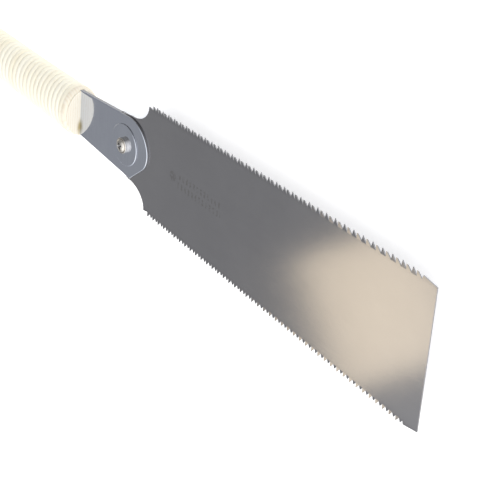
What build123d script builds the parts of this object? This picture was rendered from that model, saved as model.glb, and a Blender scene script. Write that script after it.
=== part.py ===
from build123d import *
import math
import os

# Double-edged Japanese pull saw with a changeable blade, lying on its side. Millimetres.
# +X runs from the handle's butt to the blade's tip, +Y from the crosscut teeth to the rip teeth,
# +Z up, away from the surface. The origin is on that surface, under the middle of the saw.

# Driving dimensions
overall_length = 600.0
butt_x = -overall_length / 2
tip_x = overall_length / 2
mid_z = 12.77                   # height of the middle plane: half the thickness beside the rounded butt
holder_y = 0.4                  # holder, clamp and tangs sit this much nearer to the rip teeth

# Blade
blade_length = 240.0            # toothed plate, heel to tip
blade_thickness = 0.7
heel_half_width = 32.4
tip_half_width = 41.0
heel_x = tip_x - blade_length
neck_length = 16.6              # the concave neck is a quarter of an ellipse
neck_depth = 12.6

# Teeth
first_tooth_x = heel_x + 4.0
last_tooth_x = tip_x - 11.0
first_tip_half_width = 34.4     # tooth points beside the heel
last_tip_half_width = 43.3      # tooth points at the front of each row
crosscut_teeth = 86
crosscut_depth = 2.8
rip_teeth = 69
rip_growth = 1.45               # the front rip tooth is this much longer than the first
rip_depth = 2.7
rip_depth_gain = 0.5

# Holder: sheet steel folded over along the rip side
sheet = 1.1
blade_gap = 0.8
holder_thickness = 2 * sheet + blade_gap
nose_radius = 18.5
nose_x = 43.8                   # centre of the round front end
side_slope = 0.09               # how fast the holder widens towards the front
corner_cut_angle = -16.0        # the round end stops here, and a straight cut runs back
corner_cut_x = 46.0             # where that cut meets the crosscut side
corner_rounding = 13.0          # radius between the round end and the cut
plate_back_x = -10.5            # the full width of the holder ends here, inside the handle's face
fold_end_x = 33.5
pocket_end_x = 2.0              # behind here the two leaves are welded together
boss_radius = 12.4
boss_height = 0.6
boss_edge = 0.35
cut_edge_radius = 0.4

# Blade tang, inside the holder
tang_back_x = 5.0
tang_side_gap = 0.25
shoulder_x = 35.0
neck_clear_half_width = heel_half_width - neck_depth

# Clamp: M5 screw with a flanged round head, spring washer and hexagon nut
screw_x = 40.0
shank_radius = 2.45
screw_length = 10.0
flange_radius = 4.65
flange_height = 0.95
head_radius = 3.65
head_height = 2.3
head_rounding = 1.1
recess_half_length = 2.4
recess_width = 1.0
recess_depth = 1.5
hole_radius = 2.75
washer_outer_radius = 4.6
washer_inner_radius = 2.6
washer_thickness = 1.1
washer_split = 0.8
nut_across_flats = 8.0
nut_height = 4.0
nut_bore_radius = 2.5
nut_chamfer_height = 0.4
nut_chamfer_width = 0.7

# Handle: oval wooden core in two glued halves, wound with cane
face_x = -6.5
cane_thickness = 1.3
lip_front_length = 5.0
lip_rear_length = 10.0
front_rounding = 4.0
butt_rounding = 3.0
face_half = (14.2, 10.7)        # core half width and half thickness at the front face
waist_half = (13.0, 10.1)
waist_x = -62.0
palm_half = (13.6, 10.6)
palm_x = -215.0
butt_half = (14.8, 11.5)

# Holder's tang in the handle, and its pins
handle_tang_length = 72.0
handle_tang_half_widths = (9.0, 5.5)
pin_radius = 1.5
pin_clearance = 0.02
pin_length = 18.0
pin_places = (face_x - 20.0, face_x - 50.0)

# Tacks that hold the two ends of the cane, on the under side
tack_shank_radius = 0.6
tack_length = 7.0
tack_head_radius = 1.6
tack_head_height = 0.5
tack_inset = 3.0


def slab(x_low, x_high, y_low, y_high, z_low, z_high):
    size = (x_high - x_low, y_high - y_low, z_high - z_low)
    middle = ((x_low + x_high) / 2, (y_low + y_high) / 2, (z_low + z_high) / 2)
    return Pos(*middle) * Box(*size)


def upright_disc(x, y, radius, z_low, z_high):
    return Pos(x, y, (z_low + z_high) / 2) * Cylinder(radius, z_high - z_low)


def tip_line(x):
    share = (x - first_tooth_x) / (last_tooth_x - first_tooth_x)
    return first_tip_half_width + share * (last_tip_half_width - first_tip_half_width)


def crosscut_row():
    # Tall, narrow teeth of one pitch, each with a short bevel at its point.
    pitch = (last_tooth_x - first_tooth_x) / crosscut_teeth
    points = []
    for number in range(crosscut_teeth):
        x = first_tooth_x + number * pitch
        points.append((x, tip_line(x) - crosscut_depth))
        points.append((x + 0.22 * pitch, tip_line(x)))
        points.append((x + 0.42 * pitch, tip_line(x) - 0.22 * crosscut_depth))
    return points


def rip_row():
    # Chisel teeth that grow towards the tip; the steep face looks at the handle.
    growth_steps = [1 + (rip_growth - 1) * number / (rip_teeth - 1) for number in range(rip_teeth)]
    first_pitch = (last_tooth_x - first_tooth_x) / sum(growth_steps)
    points = []
    x = first_tooth_x
    for growth in growth_steps:
        depth = rip_depth + rip_depth_gain * (growth - 1) / (rip_growth - 1)
        points.append((x, tip_line(x) - depth))
        points.append((x + 0.1 * first_pitch * growth, tip_line(x)))
        x += first_pitch * growth
    return points


def side_touch():
    # Where the long side meets the round nose on a tangent, measured from the holder's middle line.
    angle = math.atan(side_slope)
    return nose_x - nose_radius * math.sin(angle), nose_radius * math.cos(angle)


def holder_side(x, side, inset=0.0):
    # Y of the holder's long side; inset moves it inwards.
    touch_x, touch_y = side_touch()
    return holder_y + side * (touch_y + (x - touch_x) * side_slope - inset)


def tang_edge(x, side):
    return holder_side(x, side, sheet + tang_side_gap)


def blade_side(row, side):
    # Edge of the blade on one side, from the tang's back end to the tip.
    neck_x = heel_x - neck_length
    tang = [(tang_back_x, tang_edge(tang_back_x, side)), (shoulder_x, tang_edge(shoulder_x, side))]
    tang.append((shoulder_x, holder_side(shoulder_x, side)))
    tang.append((neck_x, side * neck_clear_half_width))
    land = [(last_tooth_x, tip_line(last_tooth_x) - rip_depth), (last_tooth_x + 0.6, tip_half_width + 1.5)]
    teeth = [(heel_x, heel_half_width)] + row + land + [(tip_x, tip_half_width)]
    tang_line = Polyline(*tang)
    tooth_line = Polyline(*[(x, side * y) for x, y in teeth])
    start_angle = 270 if side > 0 else 0
    middle = (neck_x, side * heel_half_width)
    neck = EllipticalCenterArc(middle, neck_length, neck_depth, start_angle, arc_size=90)
    return tang_line + neck + tooth_line


def blade():
    back = Line((tang_back_x, tang_edge(tang_back_x, -1)), (tang_back_x, tang_edge(tang_back_x, 1)))
    front = Line((tip_x, -tip_half_width), (tip_x, tip_half_width))
    outline = back + blade_side(rip_row(), 1) + blade_side(crosscut_row(), -1) + front
    low_z = mid_z - blade_thickness / 2
    plate = extrude(Pos(0, 0, low_z) * make_face(outline), blade_thickness)
    # The tang is forked, so that the blade slides past the loosened screw.
    low_y, high_y = holder_y - hole_radius, holder_y + hole_radius
    fork = slab(tang_back_x - 1, screw_x, low_y, high_y, low_z - 1, mid_z + 1)
    fork += upright_disc(screw_x, holder_y, hole_radius, low_z - 1, mid_z + 1)
    return plate - fork


def nose_point(degrees):
    angle = math.radians(degrees)
    return nose_x + nose_radius * math.cos(angle), holder_y + nose_radius * math.sin(angle)


def holder_plate(edge_radius):
    # The holder's outline at full thickness, with its long edges rounded all the way round.
    touch_x, touch_y = side_touch()
    back_rip = (plate_back_x, holder_side(plate_back_x, 1))
    back_crosscut = (plate_back_x, holder_side(plate_back_x, -1))
    side_rip = Line(back_rip, (touch_x, holder_y + touch_y))
    nose = ThreePointArc((touch_x, holder_y + touch_y), nose_point(30), nose_point(corner_cut_angle))
    cut_end = (corner_cut_x, holder_side(corner_cut_x, -1))
    rest = Polyline(nose_point(corner_cut_angle), cut_end, back_crosscut, back_rip)
    low_z = mid_z - holder_thickness / 2
    plate = extrude(Pos(0, 0, low_z) * make_face(side_rip + nose + rest), holder_thickness)
    front_corner = plate.edges().filter_by(Axis.Z).sort_by(Axis.X)[-1]
    plate = fillet(front_corner, corner_rounding)
    level_edges = [e for e in plate.edges() if e.bounding_box().size.Z < 0.01]
    return fillet([e for e in level_edges if e.bounding_box().size.X > 1], edge_radius)


def folded_plate():
    # The fold along the rip side is rounder than the sheet's cut edges.
    wide = 2 * nose_radius
    fold_place = slab(plate_back_x - 1, fold_end_x, 0, wide, 0, 2 * mid_z)
    rounded = holder_plate(sheet) & fold_place
    cut_edges = holder_plate(cut_edge_radius) - fold_place
    return rounded + cut_edges


def plate_slot():
    # The slot in the handle's face for the back of the full-width plate.
    low_z = mid_z - holder_thickness / 2
    wide = slab(plate_back_x, 0, -2 * nose_radius, 2 * nose_radius, low_z, low_z + holder_thickness)
    crosscut_side = [(x, holder_side(x, -1)) for x in (plate_back_x, 0)]
    rip_side = [(x, holder_side(x, 1)) for x in (0, plate_back_x)]
    outline = Polyline(*crosscut_side, *rip_side, close=True)
    return wide & extrude(Pos(0, 0, low_z) * make_face(outline), holder_thickness)


def handle_tang():
    root, end = handle_tang_half_widths
    end_x = face_x - handle_tang_length
    corners = [(face_x, -root), (face_x, root), (end_x, end), (end_x, -end)]
    outline = Polyline(*[(x, holder_y + y) for x, y in corners], close=True)
    low_z = mid_z - holder_thickness / 2
    return extrude(Pos(0, 0, low_z) * make_face(outline), holder_thickness)


def blade_pocket():
    # The gap between the two leaves, closed by the fold along the rip side.
    beyond = 30.0
    front = nose_x + nose_radius + 1
    inner_back = holder_side(pocket_end_x, 1, sheet)
    inner_front = holder_side(fold_end_x, 1, sheet)
    outline = Polyline(
        (pocket_end_x, -beyond), (front, -beyond), (front, beyond), (fold_end_x, beyond),
        (fold_end_x, inner_front), (pocket_end_x, inner_back), close=True)
    return extrude(Pos(0, 0, mid_z - blade_gap / 2) * make_face(outline), blade_gap)


def boss(direction):
    # A round boss pressed outwards from one leaf, hollow behind.
    outer_face = mid_z + direction * holder_thickness / 2
    top = outer_face + direction * boss_height
    disc = upright_disc(screw_x, holder_y, boss_radius, min(outer_face, top), max(outer_face, top))
    rim = disc.edges().filter_by(GeomType.CIRCLE).filter_by_position(Axis.Z, top - 0.01, top + 0.01)
    return fillet(rim, boss_edge)


def boss_hollow(direction):
    inner_face = mid_z + direction * blade_gap / 2
    top = inner_face + direction * boss_height
    return upright_disc(screw_x, holder_y, boss_radius - sheet, min(inner_face, top), max(inner_face, top))


def pin_holes():
    return [upright_disc(x, holder_y, pin_radius, 0, 2 * mid_z) for x in pin_places]


def blade_holder():
    body = folded_plate() + handle_tang() + boss(1) + boss(-1)
    body -= blade_pocket()
    body -= boss_hollow(1)
    body -= boss_hollow(-1)
    body -= upright_disc(screw_x, holder_y, hole_radius, 0, 2 * mid_z)
    for hole in pin_holes():
        body -= hole
    return body


boss_top_z = mid_z + holder_thickness / 2 + boss_height
boss_under_z = mid_z - holder_thickness / 2 - boss_height
head_seat_z = boss_top_z + washer_thickness


def clamp_screw():
    shank = upright_disc(screw_x, holder_y, shank_radius, head_seat_z - screw_length, head_seat_z)
    end = shank.edges().filter_by(GeomType.CIRCLE).sort_by(Axis.Z)[0]
    shank = chamfer(end, 0.4)
    flange = upright_disc(screw_x, holder_y, flange_radius, head_seat_z, head_seat_z + flange_height)
    head = upright_disc(screw_x, holder_y, head_radius, head_seat_z, head_seat_z + head_height)
    rim = head.edges().filter_by(GeomType.CIRCLE).sort_by(Axis.Z)[-1]
    head = fillet(rim, head_rounding)
    recess_z = head_seat_z + head_height - recess_depth
    for turn in (0, 90):
        arm = Box(2 * recess_half_length, recess_width, recess_depth + 1)
        head -= Pos(screw_x, holder_y, recess_z + (recess_depth + 1) / 2) * Rot(0, 0, 45 + turn) * arm
    return shank + flange + head


def lock_washer():
    ring = upright_disc(screw_x, holder_y, washer_outer_radius, boss_top_z, head_seat_z)
    ring -= upright_disc(screw_x, holder_y, washer_inner_radius, 0, 2 * mid_z)
    cut = Box(washer_outer_radius, washer_split, 2 * washer_thickness)
    cut_place = Pos(screw_x, holder_y, (boss_top_z + head_seat_z) / 2)
    return ring - cut_place * Rot(0, 0, -60) * Pos(washer_outer_radius / 2 + 1, 0, 0) * Rot(25, 0, 0) * cut


def clamp_nut():
    corner_radius = nut_across_flats / math.sqrt(3)
    low_z = boss_under_z - nut_height
    prism = extrude(Pos(screw_x, holder_y, low_z) * RegularPolygon(corner_radius, 6), nut_height)
    turned = upright_disc(screw_x, holder_y, corner_radius, low_z, boss_under_z)
    outer_edge = turned.edges().filter_by(GeomType.CIRCLE).sort_by(Axis.Z)[0]
    bore = upright_disc(screw_x, holder_y, nut_bore_radius, 0, 2 * mid_z)
    return (prism & chamfer(outer_edge, nut_chamfer_height, nut_chamfer_width)) - bore


def oval(x, half_sizes, extra):
    # An upright oval section of the handle, grown by extra all round.
    section = Ellipse(half_sizes[0] + extra, half_sizes[1] + extra)
    return Plane((x, 0, mid_z), x_dir=(0, 1, 0), z_dir=(1, 0, 0)) * section


def handle_form(extra):
    stations = [(butt_x, butt_half), (palm_x, palm_half), (waist_x, waist_half), (face_x, face_half)]
    return loft([oval(x, half_sizes, extra) for x, half_sizes in stations])


def handle_core():
    outer = handle_form(cane_thickness)
    wide = 40.0
    rear_lip = outer & slab(butt_x, butt_x + lip_rear_length, -wide, wide, -wide, wide)
    front_lip = outer & slab(face_x - lip_front_length, face_x, -wide, wide, -wide, wide)
    rear_edge = rear_lip.edges().sort_by(Axis.X)[0]
    front_edge = front_lip.edges().sort_by(Axis.X)[-1]
    core = handle_form(0) + fillet(rear_edge, butt_rounding) + fillet(front_edge, front_rounding)
    core -= handle_tang()
    core -= plate_slot()
    for hole in pin_holes():
        core -= hole
    return core


def handle_half(core, low_z, high_z):
    # The core is split level with the blade, so each half holds half of the tang's slot.
    wide = 40.0
    return core & slab(butt_x - 1, face_x + 1, -wide, wide, low_z, high_z)


def tang_pins():
    pins = []
    for x in pin_places:
        low_z = mid_z - pin_length / 2
        pins.append(upright_disc(x, holder_y, pin_radius - pin_clearance, low_z, low_z + pin_length))
    return Compound(children=pins)


def winding_ends():
    return (butt_x + lip_rear_length, face_x - lip_front_length)


def tack(x, grow=0.0):
    # One tack, driven up into the core through the cane; grow makes the hole that it leaves.
    surface_z = handle_under_side(x)
    shank = upright_disc(x, 0, tack_shank_radius + grow, surface_z, surface_z + tack_length)
    head = upright_disc(x, 0, tack_head_radius + grow, surface_z, surface_z + tack_head_height + grow)
    return shank + head


def handle_under_side(x):
    # Height of the winding's lowest line, found on the lofted form, plus a little so the head sits in.
    section = handle_form(cane_thickness) & slab(x - 0.05, x + 0.05, -40, 40, 0, 2 * mid_z)
    return section.bounding_box().min.Z + 0.25


def tack_places():
    rear, front = winding_ends()
    return (rear + tack_inset, front - tack_inset)


def cane_winding():
    rear, front = winding_ends()
    sleeve = handle_form(cane_thickness) - handle_form(0)
    return sleeve & slab(rear, front, -40, 40, -40, 40)


os.makedirs("parts", exist_ok=True)

core = handle_core()
under_half = handle_half(core, -1, mid_z)
winding = cane_winding()
tacks = []
for place in tack_places():
    under_half -= tack(place, pin_clearance)
    winding -= tack(place, pin_clearance)
    tacks.append(tack(place))

shapes = {
    "blade": blade(),
    "blade_holder": blade_holder(),
    "clamp_screw": clamp_screw(),
    "lock_washer": lock_washer(),
    "clamp_nut": clamp_nut(),
    "handle_half_upper": handle_half(core, mid_z, 2 * mid_z + 1),
    "handle_half_under": under_half,
    "tang_pins": tang_pins(),
    "cane_winding": winding,
    "cane_tacks": Compound(children=tacks),
}
for node, shape in shapes.items():
    export_step(shape, "parts/" + node + ".step")
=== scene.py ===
import bpy
import bmesh
import math
from mathutils import Matrix, Vector


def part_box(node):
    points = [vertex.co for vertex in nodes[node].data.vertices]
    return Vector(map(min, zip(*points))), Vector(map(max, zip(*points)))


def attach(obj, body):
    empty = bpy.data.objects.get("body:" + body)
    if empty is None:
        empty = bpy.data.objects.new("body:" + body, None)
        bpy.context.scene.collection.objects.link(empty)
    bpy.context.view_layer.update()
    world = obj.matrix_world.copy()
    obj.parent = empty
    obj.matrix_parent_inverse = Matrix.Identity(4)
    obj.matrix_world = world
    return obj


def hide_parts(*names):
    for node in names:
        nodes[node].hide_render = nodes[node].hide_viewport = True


# Double-edged pull saw lying on its side: cane-wound handle, folded steel holder, changeable blade.
# Lengths are in millimetres and turned into metres by mm.

mm = 0.001
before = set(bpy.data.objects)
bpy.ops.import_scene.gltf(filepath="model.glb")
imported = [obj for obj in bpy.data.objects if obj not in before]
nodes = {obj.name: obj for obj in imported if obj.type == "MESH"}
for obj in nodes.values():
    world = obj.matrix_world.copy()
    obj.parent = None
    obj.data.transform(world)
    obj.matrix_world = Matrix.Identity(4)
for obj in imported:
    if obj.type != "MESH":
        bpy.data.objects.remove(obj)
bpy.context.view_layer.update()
print("frame loaded")


def deselectAll():
    if bpy.context.object and bpy.context.object.mode != "OBJECT":
        bpy.ops.object.mode_set(mode="OBJECT")
    bpy.ops.object.select_all(action="DESELECT")


def makeActive(piece):
    deselectAll()
    piece.select_set(True)
    bpy.context.view_layer.objects.active = piece


def applyModifiers(piece):
    makeActive(piece)
    for modifier in list(piece.modifiers):
        bpy.ops.object.modifier_apply(modifier=modifier.name)


def applyPlace(piece):
    makeActive(piece)
    bpy.ops.object.transform_apply(location=True, rotation=True, scale=True)


def setMaterial(piece, material):
    piece.data.materials.clear()
    piece.data.materials.append(material)


def pickVerts(mesh, verts):
    for vert in mesh.verts:
        vert.select_set(False)
    for vert in verts:
        vert.select_set(True)
    mesh.select_flush_mode()


def slideVerts(mesh, verts, step):
    pickVerts(mesh, verts)
    bpy.ops.transform.translate(value=[s * mm for s in step])


def startVertex(point):
    # one loose vertex, in edit mode, from which an outline is drawn
    deselectAll()
    bpy.ops.mesh.primitive_plane_add(size=mm, location=[c * mm for c in point])
    piece = bpy.context.object
    bpy.ops.object.transform_apply(location=True, rotation=False, scale=False)
    bpy.ops.object.mode_set(mode="EDIT")
    bpy.ops.mesh.select_mode(type="VERT")
    bpy.ops.mesh.select_all(action="SELECT")
    bpy.ops.mesh.merge(type="CENTER")
    return piece


def drawOn(points):
    # extrudes the last vertex from point to point
    for here, there in zip(points, points[1:]):
        step = [(b - a) * mm for a, b in zip(here, there)]
        bpy.ops.mesh.extrude_region_move(TRANSFORM_OT_translate={"value": step})


def arcPoints(centre, radii, startDegrees, endDegrees, count):
    points = []
    for number in range(count + 1):
        angle = math.radians(startDegrees + (endDegrees - startDegrees) * number / count)
        points.append((centre[0] + radii[0] * math.cos(angle), centre[1] + radii[1] * math.sin(angle)))
    return points


class Look:
    # a material with its shader and a short way to add and join nodes
    def __init__(self, name):
        self.material = bpy.data.materials.new(name)
        self.material.use_nodes = True
        self.tree = self.material.node_tree
        self.shader = self.tree.nodes["Principled BSDF"]
        self.coords = self.tree.nodes.new("ShaderNodeTexCoord").outputs["Object"]

    def set(self, **values):
        for socket, value in values.items():
            self.shader.inputs[socket.replace("_", " ")].default_value = value

    def add(self, kind, inputs=None, **settings):
        node = self.tree.nodes.new(kind)
        for key, value in settings.items():
            setattr(node, key, value)
        for key, value in (inputs or {}).items():
            if isinstance(value, bpy.types.NodeSocket):
                self.tree.links.new(value, node.inputs[key])
            else:
                node.inputs[key].default_value = value
        return node

    def stretched(self, scale):
        return self.add("ShaderNodeMapping", {"Vector": self.coords, "Scale": scale}).outputs["Vector"]

    def noise(self, vector, scale, detail=3.0, roughness=0.5):
        inputs = {"Vector": vector, "Scale": scale, "Detail": detail, "Roughness": roughness}
        return self.add("ShaderNodeTexNoise", inputs).outputs["Fac"]

    def ramp(self, factor, stops):
        node = self.add("ShaderNodeValToRGB", {"Fac": factor})
        ramp = node.color_ramp
        while len(ramp.elements) < len(stops):
            ramp.elements.new(0.5)
        for element, (place, colour) in zip(ramp.elements, stops):
            element.position = place
            element.color = (*colour, 1.0) if len(colour) == 3 else colour
        return node.outputs["Color"]

    def math(self, operation, a, b=0.0):
        return self.add("ShaderNodeMath", {0: a, 1: b}, operation=operation).outputs["Value"]

    def vector(self, operation, a, b=(0, 0, 0)):
        return self.add("ShaderNodeVectorMath", {0: a, 1: b}, operation=operation).outputs

    def spread(self, value, low, high, fromLow=0.0, fromHigh=1.0, **settings):
        inputs = {"Value": value, "From Min": fromLow, "From Max": fromHigh, "To Min": low, "To Max": high}
        return self.add("ShaderNodeMapRange", inputs, **settings).outputs["Result"]

    def mix(self, factor, first, second):
        return self.add("ShaderNodeMix", {0: factor, 6: first, 7: second}, data_type="RGBA").outputs[2]

    def colour(self, socket):
        self.tree.links.new(socket, self.shader.inputs["Base Color"])

    def rough(self, socket):
        self.tree.links.new(socket, self.shader.inputs["Roughness"])

    def bump(self, height, strength, distance):
        node = self.add("ShaderNodeBump", {"Height": height, "Strength": strength, "Distance": distance})
        self.tree.links.new(node.outputs["Normal"], self.shader.inputs["Normal"])


steelLooks = {
    "blade": {"dark": (0.415, 0.415, 0.435), "light": (0.455, 0.455, 0.475), "rough": (0.13, 0.18)},
    # the ground colours are also painted shade in the screw's cross and on the holder's upright faces
    "ground": {"dark": (0.26, 0.26, 0.27), "light": (0.36, 0.36, 0.37), "rough": (0.34, 0.46)},
    "holder": {"dark": (0.59, 0.63, 0.72), "light": (0.67, 0.71, 0.80), "rough": (0.06, 0.11)},
    "plated": {"dark": (0.48, 0.46, 0.43), "light": (0.68, 0.65, 0.61), "rough": (0.05, 0.11)},
    "plain": {"dark": (0.38, 0.37, 0.36), "light": (0.52, 0.51, 0.50), "rough": (0.30, 0.45)},
}


def steelParts(name, grainStretch, bumpStrength):
    # the shared metal: fine grain one way, soft clouds over it
    values = steelLooks[name]
    look = Look(name + "Steel")
    look.set(Metallic=1.0)
    grain = look.noise(look.stretched(grainStretch), 1.0, 6.0, 0.65)
    cloud = look.noise(look.coords, 45.0, 4.0, 0.6)
    blend = look.math("MULTIPLY", look.math("ADD", grain, cloud), 0.5)
    look.bump(grain, bumpStrength, 0.00005)
    colour = look.ramp(blend, [(0.30, values["dark"]), (0.70, values["light"])])
    return look, colour, look.spread(blend, *values["rough"])


def steelLook(name, grainStretch, bumpStrength):
    look, colour, rough = steelParts(name, grainStretch, bumpStrength)
    look.colour(colour)
    look.rough(rough)
    return look.material


def bladeLook():
    # painted shade: the teeth turn darker towards their points
    look, colour, rough = steelParts("blade", (60, 2200, 60), 0.2)
    axes = look.add("ShaderNodeSeparateXYZ", {"Vector": look.coords}).outputs
    (start, end), (low, high) = bladeSizes["toothRows"], bladeSizes["tipLine"]
    slope = (high - low) / (end - start)
    points = look.math("ADD", look.math("MULTIPLY", axes["X"], slope), (low - slope * start) * mm)
    inside = look.math("SUBTRACT", points, look.math("ABSOLUTE", axes["Y"]))
    width, shade = bladeSizes["paintedShadeBand"] * mm, bladeSizes["paintedShadeStrength"]
    band = look.spread(inside, 0.0, shade, width, 0.0, interpolation_type="SMOOTHSTEP")
    dark = look.mix(band, colour, (0.08, 0.08, 0.08, 1.0))
    look.colour(look.mix(etchAmount(look, axes), dark, (0.20, 0.19, 0.16, 1.0)))
    look.rough(rough)
    return look.material


def etchAmount(look, axes):
    # a faint round stamp and two rows of small plain blocks, on the upper face only
    (lowX, highX), (lowY, highY) = [[v * mm for v in pair] for pair in bladeSizes["etchBox"]]
    shifted = look.vector("SUBTRACT", look.coords, (lowX, lowY, 0))["Vector"]
    bricks = {"Vector": shifted, "Scale": 1.0, "Mortar Size": 0.9 * mm, "Mortar Smooth": 0.1}
    bricks.update({"Brick Width": 3.3 * mm, "Row Height": 5.4 * mm})
    blocks = look.add("ShaderNodeTexBrick", bricks, offset=0.35).outputs["Fac"]
    broken = look.math("GREATER_THAN", look.noise(look.stretched((900, 900, 900)), 1.0, 1.0), 0.47)
    rows = look.math("MULTIPLY", look.math("SUBTRACT", 1.0, blocks), broken)
    for axis, low, high in (("X", lowX, highX), ("Y", lowY, highY)):
        rows = look.math("MULTIPLY", rows, look.math("GREATER_THAN", axes[axis], low))
        rows = look.math("MULTIPLY", rows, look.math("LESS_THAN", axes[axis], high))
    stampX, stampY, stampRadius = [v * mm for v in bladeSizes["etchStamp"]]
    flat = look.add("ShaderNodeCombineXYZ", {"X": axes["X"], "Y": axes["Y"]}).outputs["Vector"]
    away = look.vector("DISTANCE", flat, (stampX, stampY, 0))["Value"]
    stamp = look.math("MULTIPLY", look.math("LESS_THAN", away, stampRadius), broken)
    both = look.math("MAXIMUM", rows, stamp)
    above = look.math("GREATER_THAN", axes["Z"], bladeMidZ)
    return look.math("MULTIPLY", look.math("MULTIPLY", both, above), bladeSizes["etchShade"])


def holderLook():
    # bright faces; upright faces take the ground steel's darker colour, which is painted shade on the
    # walls and the fold, and a duller finish on the cut edges
    look, colour, rough = steelParts("holder", (900, 70, 70), 0.04)
    normal = look.tree.nodes.new("ShaderNodeTexCoord").outputs["Normal"]
    upright = look.math("ABSOLUTE", look.add("ShaderNodeSeparateXYZ", {"Vector": normal}).outputs["Z"])
    face = look.spread(upright, 0.0, 1.0, 0.25, 0.6)
    look.colour(look.mix(face, (*steelLooks["ground"]["dark"], 1.0), colour))
    edge = look.math("MULTIPLY", look.math("SUBTRACT", 1.0, face), 0.3)
    look.rough(look.math("ADD", rough, edge))
    return look.material


woodSizes = {
    "colours": [(0.15, (0.80, 0.71, 0.55)), (0.5, (0.86, 0.80, 0.67)), (0.9, (0.90, 0.85, 0.73))],
    "stainPlace": (-6.5, -8.6, 14.6),    # dried glue at the low end of the holder's slot
    "stainSize": (5.0, 5.0, 1.5),
    "stain": (0.36, 0.26, 0.07),
}
caneColours = [
    (0.20, (0.86, 0.75, 0.53)), (0.40, (0.94, 0.88, 0.71)),
    (0.60, (0.96, 0.93, 0.81)), (0.85, (0.97, 0.95, 0.86))]


def woodLook():
    look = Look("handleWood")
    look.set(Roughness=0.62)
    waves = {"Vector": look.stretched((9, 210, 210)), "Scale": 1.0, "Distortion": 4.0, "Detail": 3.0}
    rings = look.add("ShaderNodeTexWave", waves, wave_type="BANDS", bands_direction="Z").outputs["Fac"]
    fibre = look.noise(look.stretched((40, 900, 900)), 1.0, 5.0, 0.6)
    blend = look.math("ADD", look.math("MULTIPLY", rings, 0.35), look.math("MULTIPLY", fibre, 0.65))
    wood = look.ramp(blend, woodSizes["colours"])
    away = look.vector("SUBTRACT", look.coords, [v * mm for v in woodSizes["stainPlace"]])["Vector"]
    away = look.vector("DIVIDE", away, [v * mm for v in woodSizes["stainSize"]])["Vector"]
    uneven = look.math("MULTIPLY", look.noise(look.stretched((700, 700, 700)), 1.0), 0.5)
    ragged = look.math("ADD", look.vector("LENGTH", away)["Value"], uneven)
    look.colour(look.mix(look.spread(ragged, 0.85, 0.0, 0.5, 1.5), wood, (*woodSizes["stain"], 1.0)))
    look.rough(look.spread(fibre, 0.55, 0.72))
    look.bump(fibre, 0.2, 0.00015)
    return look.material


def caneLook():
    # long fibres run round the handle; every few turns the strip changes shade
    look = Look("cane")
    look.set(Coat_Weight=0.06, Coat_Roughness=0.3)
    streaks = look.noise(look.stretched((2600, 60, 60)), 1.0, 4.0, 0.6)
    patches = look.noise(look.stretched((120, 14, 14)), 1.0, 3.0, 0.5)
    flecks = look.noise(look.stretched((900, 300, 300)), 1.0, 2.0, 0.7)
    blend = look.math("ADD", look.math("MULTIPLY", streaks, 0.3), look.math("MULTIPLY", patches, 0.5))
    blend = look.math("ADD", blend, look.math("MULTIPLY", flecks, 0.2))
    look.colour(look.ramp(blend, caneColours))
    look.rough(look.spread(streaks, 0.32, 0.52))
    look.bump(streaks, 0.3, 0.0001)
    return look.material


# darker steel for ground faces, also used as painted shade in the screw's cross
groundAndShadeSteel = steelLook("ground", (900, 900, 900), 0.3)
holderSteel = holderLook()
platedSteel = steelLook("plated", (300, 300, 300), 0.05)
plainSteel = steelLook("plain", (500, 500, 500), 0.4)
handleWood = woodLook()
cane = caneLook()
print("materials made")


bladeSizes = {
    "thickness": 0.7,
    "heel": (60.0, 32.4),           # where the neck's curve meets the toothed plate
    "neck": (16.6, 12.6),           # length and depth of the neck's hollow
    "tangShift": 0.4,               # the tang and its fork sit this much nearer to the rip teeth
    "tangBack": (5.0, 13.73),
    "tangFront": (35.0, 16.43),
    "shoulder": (35.0, 17.78),
    "fork": (40.0, 2.75),           # end and half width of the slot round the screw
    "tip": (300.0, 41.0),
    "toothRows": (64.0, 289.0),
    "tipLine": (34.4, 43.3),        # tooth points at the two ends of each row
    "land": (289.6, 42.5),
    "ripTeeth": 69,
    "ripGrowth": 1.45,
    "ripDepth": (2.7, 3.2),
    "crosscutTeeth": 86,
    "crosscutDepth": 2.8,
    "ripShape": (0.0, 0.12, 0.0),   # a tooth's lean, width of its ridge and drop of its point
    "crosscutShape": (0.16, 0.34, 0.15),
    "bevel": (0.12, 0.16),          # how far a tooth's hidden face is ground back and down
    "set": 0.16,                    # how far a tooth is bent to its side
    "paintedShadeBand": 5.0,                # depth of the painted shade band behind the tooth points
    "paintedShadeStrength": 0.22,
    "etchBox": ((91.0, 131.0), (-4.6, 6.2)),
    "etchStamp": (86.0, 1.4, 3.0),  # middle and radius
    "etchShade": 0.30,
}


bladeMidZ = sum(corner.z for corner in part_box("blade")) / 2
bladeSteel = bladeLook()


def tipLine(x):
    (start, end), (low, high) = bladeSizes["toothRows"], bladeSizes["tipLine"]
    return low + (high - low) * (x - start) / (end - start)


def toothPlaces(count, growth):
    # x of each tooth's root and its pitch
    start, end = bladeSizes["toothRows"]
    steps = [1 + (growth - 1) * number / (count - 1) for number in range(count)]
    unit = (end - start) / sum(steps)
    places, x = [], start
    for step in steps:
        places.append((x, unit * step))
        x += unit * step
    return places


def rowDepth(places, number, depths):
    return depths[0] + (depths[1] - depths[0]) * number / (len(places) - 1)


def rootPoints(places, depths):
    points = []
    for number, (x, pitch) in enumerate(places):
        points.append((x, tipLine(x) - rowDepth(places, number, depths)))
    end = bladeSizes["toothRows"][1]
    return points + [(end, tipLine(end) - depths[1])]


def bladeEdge(places, depths, side):
    # one long edge from the tang's back end to the tip
    size = bladeSizes
    neckX = size["heel"][0] - size["neck"][0]
    tang = [size["tangBack"], size["tangFront"], size["shoulder"]]
    points = arcPoints((neckX, size["heel"][1]), size["neck"], -90, 0, 14)
    points += rootPoints(places, depths) + [size["land"], size["tip"]]
    return [(x, side * y + size["tangShift"]) for x, y in tang] + [(x, side * y) for x, y in points]


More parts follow.
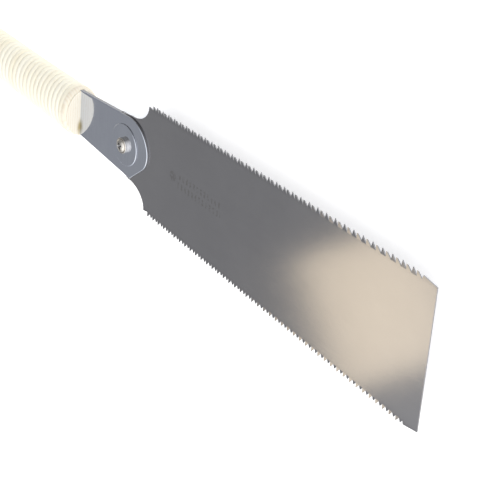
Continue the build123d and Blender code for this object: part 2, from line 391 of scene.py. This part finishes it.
def shapeTooth(mesh, face, pitch, depth, side, bend, shape):
    # a box grown on the root becomes a bent tooth with one bevelled side
    lean, ridge, drop = shape
    back, down = bladeSizes["bevel"]
    verts = sorted(face.verts, key=lambda v: v.co.x)
    slideVerts(mesh, verts, (0, side * depth, bend * bladeSizes["set"]))
    slideVerts(mesh, verts[:2], (lean * pitch, 0, 0))
    slideVerts(mesh, verts[2:], ((ridge - 1) * pitch, -side * drop * depth, 0))
    hidden = [v for v in verts if (v.co.z - bladeMidZ) * bend < bladeSizes["set"] * mm]
    slideVerts(mesh, hidden, (back * pitch, -side * down * depth, 0))


def growTeeth(piece, places, depths, side, shape):
    mesh = bmesh.from_edit_mesh(piece.data)
    bpy.ops.mesh.select_mode(type="FACE")
    start, end = bladeSizes["toothRows"]
    for face in mesh.faces:
        middle = face.calc_center_median() / mm
        onRoots = abs(face.normal.z) < 0.5 and start < middle.x < end and side * middle.y > 25
        face.select_set(onRoots)
    mesh.select_flush_mode()
    bpy.ops.mesh.extrude_faces_indiv()
    mesh = bmesh.from_edit_mesh(piece.data)
    tops = sorted([f for f in mesh.faces if f.select], key=lambda f: f.calc_center_median().x)
    bpy.ops.mesh.select_mode(type="VERT")
    for number, (face, (x, pitch)) in enumerate(zip(tops, places)):
        bend = 1 if number % 2 == 0 else -1
        depth = rowDepth(places, number, depths)
        shapeTooth(mesh, face, pitch, depth, side, bend, shape)


def makeBlade():
    size = bladeSizes
    rip = toothPlaces(size["ripTeeth"], size["ripGrowth"])
    crosscut = toothPlaces(size["crosscutTeeth"], 1.0)
    crosscutDepths = (size["crosscutDepth"], size["crosscutDepth"])
    upper = bladeEdge(rip, size["ripDepth"], 1)
    lower = bladeEdge(crosscut, crosscutDepths, -1)
    forkEnd, forkHalf = size["fork"]
    shift, backX = size["tangShift"], size["tangBack"][0]
    fork = arcPoints((forkEnd, shift), (forkHalf, forkHalf), -90, 90, 12)
    outline = [(backX, shift - forkHalf)] + fork + [(backX, shift + forkHalf)] + upper + lower[::-1]
    lowZ = bladeMidZ / mm - size["thickness"] / 2
    points = [(x, y, lowZ) for x, y in outline]
    piece = startVertex(points[0])
    drawOn(points)
    bpy.ops.mesh.select_all(action="SELECT")
    bpy.ops.mesh.edge_face_add()
    bpy.ops.mesh.extrude_region_move(TRANSFORM_OT_translate={"value": (0, 0, size["thickness"] * mm)})
    bpy.ops.mesh.select_all(action="SELECT")
    bpy.ops.mesh.normals_make_consistent(inside=False)
    growTeeth(piece, rip, size["ripDepth"], 1, size["ripShape"])
    growTeeth(piece, crosscut, crosscutDepths, -1, size["crosscutShape"])
    bpy.ops.mesh.select_all(action="SELECT")
    bpy.ops.mesh.normals_make_consistent(inside=False)
    bpy.ops.object.mode_set(mode="OBJECT")
    piece.name = "sawBlade"
    setMaterial(piece, bladeSteel)
    piece.data.materials.append(groundAndShadeSteel)
    for face in piece.data.polygons:
        if abs(face.normal.z) < 0.9:
            face.material_index = 1
    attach(piece, "blade")
    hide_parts("blade")


makeBlade()
print("blade made")


caneSizes = {
    "pitch": 4.1,
    "stripWidth": 4.0,
    "stripHeight": 1.3,
    "segments": 72,
    "coilRadius": 20.0,             # the coil is wound this wide, then pulled in to the handle
    # x, half width and half thickness over the winding
    "outside": [(-300.0, 16.1, 12.8), (-215.0, 14.9, 11.9), (-62.0, 14.3, 11.4), (-6.5, 15.5, 12.0)],
}


def lagrange(x, column):
    # a smooth curve through the handle's four sections
    stations = caneSizes["outside"]
    total = 0.0
    for i, a in enumerate(stations):
        term = a[column]
        for j, b in enumerate(stations):
            if i != j:
                term *= (x - b[0]) / (a[0] - b[0])
        total += term
    return total


def makeWinding():
    size = caneSizes
    low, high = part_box("cane_winding")
    radius = size["coilRadius"]
    half, height = size["stripWidth"] / 2, size["stripHeight"]
    firstX, lastX = low.x / mm + half, high.x / mm - half
    turns = round((lastX - firstX) / size["pitch"])
    pitch = (lastX - firstX) / turns
    startX = firstX - pitch
    # the strip's section: flat below, crowned above
    crown = arcPoints((0, 0), (half, 0.75 * height), 0, 180, 6)
    section = [(-half, -0.25 * height)] + [(half, -0.25 * height)] + crown
    section = [(startX + x, 0.0, radius - 0.75 * height + z) for x, z in section]
    piece = startVertex(section[0])
    drawOn(section)
    bpy.ops.mesh.select_all(action="SELECT")
    bpy.ops.mesh.edge_face_add()
    bpy.ops.mesh.delete(type="ONLY_FACE")
    bpy.ops.object.mode_set(mode="OBJECT")
    screw = piece.modifiers.new("wind", "SCREW")
    screw.axis = "X"
    screw.angle = 2 * math.pi
    screw.screw_offset = pitch * mm
    screw.iterations = turns + 2
    screw.steps = screw.render_steps = size["segments"]
    screw.use_smooth_shade = True
    applyModifiers(piece)
    # pull the round coil in to the handle's oval, station by station
    # the spare turn at each end is held flat against the wooden lip
    for vert in piece.data.vertices:
        along = startX + pitch * (vert.index // len(section)) / size["segments"]
        vert.co.x += (min(max(along, firstX), lastX) - along) * mm
        x = vert.co.x / mm
        outside = math.hypot(vert.co.y, vert.co.z) / mm
        shrink = radius - outside
        direction = Vector((0, vert.co.y, vert.co.z)).normalized()
        vert.co.y = direction.y * (lagrange(x, 1) - shrink) * mm
        vert.co.z = bladeMidZ + direction.z * (lagrange(x, 2) - shrink) * mm
    bpy.ops.object.mode_set(mode="EDIT")
    bpy.ops.mesh.select_all(action="SELECT")
    bpy.ops.mesh.fill_holes(sides=0)
    bpy.ops.mesh.normals_make_consistent(inside=False)
    bpy.ops.object.mode_set(mode="OBJECT")
    piece.name = "caneStrip"
    setMaterial(piece, cane)
    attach(piece, "handle")
    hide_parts("cane_winding")


makeWinding()
print("cane wound")


screwSizes = {
    "place": (40.0, 0.4),
    # radius and height
    "flange": [(4.45, 0.0), (4.65, 0.2), (4.65, 0.75), (4.5, 0.92), (4.0, 0.92), (3.65, 0.72)],
    "domeStart": 1.05,
    "domeRadius": 3.65,
    "headHeight": 2.3,
    "coreRadius": 2.1,
    "shankLength": 10.0,
    "threadRadius": 2.44,
    "threadPitch": 0.8,
    "threadSpan": (-9.5, -0.7),
    "recess": (4.9, 1.15, 1.6),     # length, width and depth of the cross
    "recessTaper": (0.45, 0.8),     # its floor's length and width against its mouth's
    "recessTurn": 20,
    "segments": 64,
}


def spinProfile(profile, centre, seatZ, segments):
    # turns (radius, height) points round the upright axis into a closed body
    points = [(centre[0] + r, centre[1], seatZ + z) for r, z in profile]
    piece = startVertex(points[0])
    drawOn(points)
    bpy.ops.mesh.select_all(action="SELECT")
    middle = (centre[0] * mm, centre[1] * mm, seatZ * mm)
    bpy.ops.mesh.spin(steps=segments, angle=2 * math.pi, center=middle, axis=(0, 0, 1))
    bpy.ops.mesh.select_all(action="SELECT")
    bpy.ops.mesh.remove_doubles(threshold=0.00001)
    bpy.ops.mesh.normals_make_consistent(inside=False)
    bpy.ops.object.mode_set(mode="OBJECT")
    return piece


def cutCross(piece, centre, topZ):
    size = screwSizes
    length, width, depth = size["recess"]
    for turn in (size["recessTurn"], size["recessTurn"] + 90):
        deselectAll()
        bpy.ops.mesh.primitive_cube_add(size=mm)
        cutter = bpy.context.object
        cutter.scale = (length, width, depth + 0.5)
        applyPlace(cutter)
        bpy.ops.object.mode_set(mode="EDIT")
        bpy.ops.mesh.select_mode(type="VERT")
        mesh = bmesh.from_edit_mesh(cutter.data)
        pickVerts(mesh, [v for v in mesh.verts if v.co.z < 0])
        bpy.ops.transform.resize(value=(*size["recessTaper"], 1.0), center_override=(0, 0, 0))
        bpy.ops.object.mode_set(mode="OBJECT")
        cutter.rotation_euler = (0, 0, math.radians(turn))
        cutter.location = (centre[0] * mm, centre[1] * mm, (topZ - depth / 2 + 0.25) * mm)
        applyPlace(cutter)
        cut = piece.modifiers.new("cross", "BOOLEAN")
        cut.operation = "DIFFERENCE"
        cut.solver = "EXACT"
        cut.object = cutter
        applyModifiers(piece)
        bpy.data.objects.remove(cutter)


def makeThread(centre, seatZ):
    # one helical ridge, closed at both ends
    size = screwSizes
    low, high = size["threadSpan"]
    root, crest, pitch = size["coreRadius"] - 0.08, size["threadRadius"], size["threadPitch"]
    section = [(root, -0.38), (crest, -0.06), (crest, 0.06), (root, 0.38)]
    points = [(r, 0.0, low + 0.4 + z) for r, z in section]
    ridge = startVertex(points[0])
    drawOn(points + [points[0]])
    bpy.ops.mesh.select_all(action="SELECT")
    bpy.ops.mesh.remove_doubles(threshold=0.000001)
    bpy.ops.object.mode_set(mode="OBJECT")
    wind = ridge.modifiers.new("wind", "SCREW")
    wind.axis = "Z"
    wind.angle = 2 * math.pi
    wind.screw_offset = pitch * mm
    wind.iterations = int((high - low - 0.8) / pitch)
    wind.steps = wind.render_steps = 40
    applyModifiers(ridge)
    bpy.ops.object.mode_set(mode="EDIT")
    bpy.ops.mesh.select_all(action="SELECT")
    bpy.ops.mesh.fill_holes(sides=0)
    bpy.ops.mesh.normals_make_consistent(inside=False)
    bpy.ops.object.mode_set(mode="OBJECT")
    ridge.location = (centre[0] * mm, centre[1] * mm, seatZ * mm)
    applyPlace(ridge)
    return ridge


def paintRecessShade(piece, seatZ):
    # painted shade: the walls and floor of the cross take the darker ground steel, which is also rougher
    # than the polished dome
    size = screwSizes
    piece.data.materials.append(groundAndShadeSteel)
    start, radius = size["domeStart"], size["domeRadius"]
    rise = size["headHeight"] - start
    for face in piece.data.polygons:
        x, y, z = face.center / mm
        away = math.hypot(x - size["place"][0], y - size["place"][1])
        if away < size["recess"][0] / 2 + 0.05:
            dome = seatZ + start + rise * math.sqrt(1 - (away / radius) ** 2)
            if seatZ + 0.4 < z < dome - 0.12:
                face.material_index = 1


def makeScrew():
    size = screwSizes
    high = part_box("clamp_screw")[1].z / mm
    seatZ = high - size["headHeight"]
    core, end = size["coreRadius"], -size["shankLength"]
    profile = [(0.0, end), (core - 0.35, end), (core, end + 0.4), (core, 0.0)] + size["flange"]
    domeHeight = size["headHeight"] - size["domeStart"]
    profile += arcPoints((0, size["domeStart"]), (size["domeRadius"], domeHeight), 0, 90, 10)
    piece = spinProfile(profile, size["place"], seatZ, size["segments"])
    cutCross(piece, size["place"], high)
    ridge = makeThread(size["place"], seatZ)
    makeActive(piece)
    ridge.select_set(True)
    bpy.ops.object.join()
    makeActive(piece)
    bpy.ops.object.shade_smooth_by_angle(angle=math.radians(32))
    piece.name = "crossScrew"
    setMaterial(piece, platedSteel)
    paintRecessShade(piece, seatZ)
    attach(piece, "screw")
    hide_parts("clamp_screw")


makeScrew()
print("screw made")


# the other parts keep the shape they came with
for name, material in (
        ("blade_holder", holderSteel), ("lock_washer", platedSteel), ("clamp_nut", platedSteel),
        ("handle_half_upper", handleWood), ("handle_half_under", handleWood),
        ("tang_pins", plainSteel), ("cane_tacks", plainSteel)):
    setMaterial(nodes[name], material)
print("carried nodes dressed")


stageSizes = {
    "floor": 8.0,
    "floorGlow": 0.52,
    "cameraPlace": (0.88225, 0.51286, 0.60177),
    "right": (0.59439, 0.07875, -0.80031),
    "down": (0.43417, -0.86911, 0.23694),
    "lens": 145.72,
    "brightSide": (0.745, -0.36, 0.561),     # the surroundings grow lighter towards here
    "levels": [(0.0, 0.30), (0.43, 0.37), (0.505, 0.34), (0.56, 0.58), (0.72, 1.10), (1.0, 1.85)],
    "cardPlace": (0.0165, -0.1885, 0.253),   # small warm card mirrored by the front of the blade
    "cardAim": (0.27, 0.005, 0.013),
    "cardSize": 0.098,
    "cardPower": 0.037,
    "cardColour": (1.0, 0.82, 0.56),
}


def makeFloor():
    deselectAll()
    bpy.ops.mesh.primitive_plane_add(size=stageSizes["floor"], location=(0, 0, 0))
    floor = bpy.context.object
    floor.name = "floor"
    look = Look("paleFloor")
    look.set(Roughness=0.9, Emission_Color=(1.0, 1.0, 1.0, 1.0), Emission_Strength=stageSizes["floorGlow"])
    clouds = look.noise(look.coords, 3.0)
    look.colour(look.ramp(clouds, [(0.3, (0.88, 0.88, 0.88)), (0.7, (0.90, 0.90, 0.90))]))
    setMaterial(floor, look.material)


def makeSky():
    # soft studio surroundings, darker behind the handle and lighter over the blade's tip
    world = bpy.data.worlds.new("studio")
    bpy.context.scene.world = world
    world.use_nodes = True
    tree = world.node_tree
    coords = tree.nodes.new("ShaderNodeTexCoord")
    along = tree.nodes.new("ShaderNodeVectorMath")
    along.operation = "DOT_PRODUCT"
    along.inputs[1].default_value = stageSizes["brightSide"]
    half = tree.nodes.new("ShaderNodeMath")
    half.operation = "MULTIPLY_ADD"
    half.inputs[1].default_value = 0.5
    half.inputs[2].default_value = 0.5
    ramp = tree.nodes.new("ShaderNodeValToRGB")
    tree.links.new(coords.outputs["Generated"], along.inputs[0])
    tree.links.new(along.outputs["Value"], half.inputs[0])
    tree.links.new(half.outputs["Value"], ramp.inputs["Fac"])
    stops = stageSizes["levels"]
    while len(ramp.color_ramp.elements) < len(stops):
        ramp.color_ramp.elements.new(0.5)
    for element, (place, level) in zip(ramp.color_ramp.elements, stops):
        element.position = place
        element.color = (level, level, level * 1.01, 1.0)
    tree.links.new(ramp.outputs["Color"], tree.nodes["Background"].inputs["Color"])


def makeCard():
    data = bpy.data.lights.new("warmCard", "AREA")
    data.size = stageSizes["cardSize"]
    data.energy = stageSizes["cardPower"]
    data.color = stageSizes["cardColour"]
    card = bpy.data.objects.new("warmCard", data)
    bpy.context.scene.collection.objects.link(card)
    card.location = stageSizes["cardPlace"]
    aim = Vector(stageSizes["cardAim"]) - card.location
    card.rotation_euler = aim.to_track_quat("-Z", "Y").to_euler()
    card.visible_camera = False


def makeCamera():
    data = bpy.data.cameras.new("camera")
    camera = bpy.data.objects.new("camera", data)
    bpy.context.scene.collection.objects.link(camera)
    right, down = Vector(stageSizes["right"]), Vector(stageSizes["down"])
    back = right.cross(-down)
    turn = Matrix((right, -down, back)).transposed().to_4x4()
    camera.matrix_world = Matrix.Translation(stageSizes["cameraPlace"]) @ turn
    data.lens = stageSizes["lens"]
    data.sensor_width = 36.0
    data.clip_end = 50.0
    bpy.context.scene.camera = camera


makeFloor()
makeSky()
makeCard()
makeCamera()
bpy.context.scene.view_settings.view_transform = "Standard"
print("stage set")
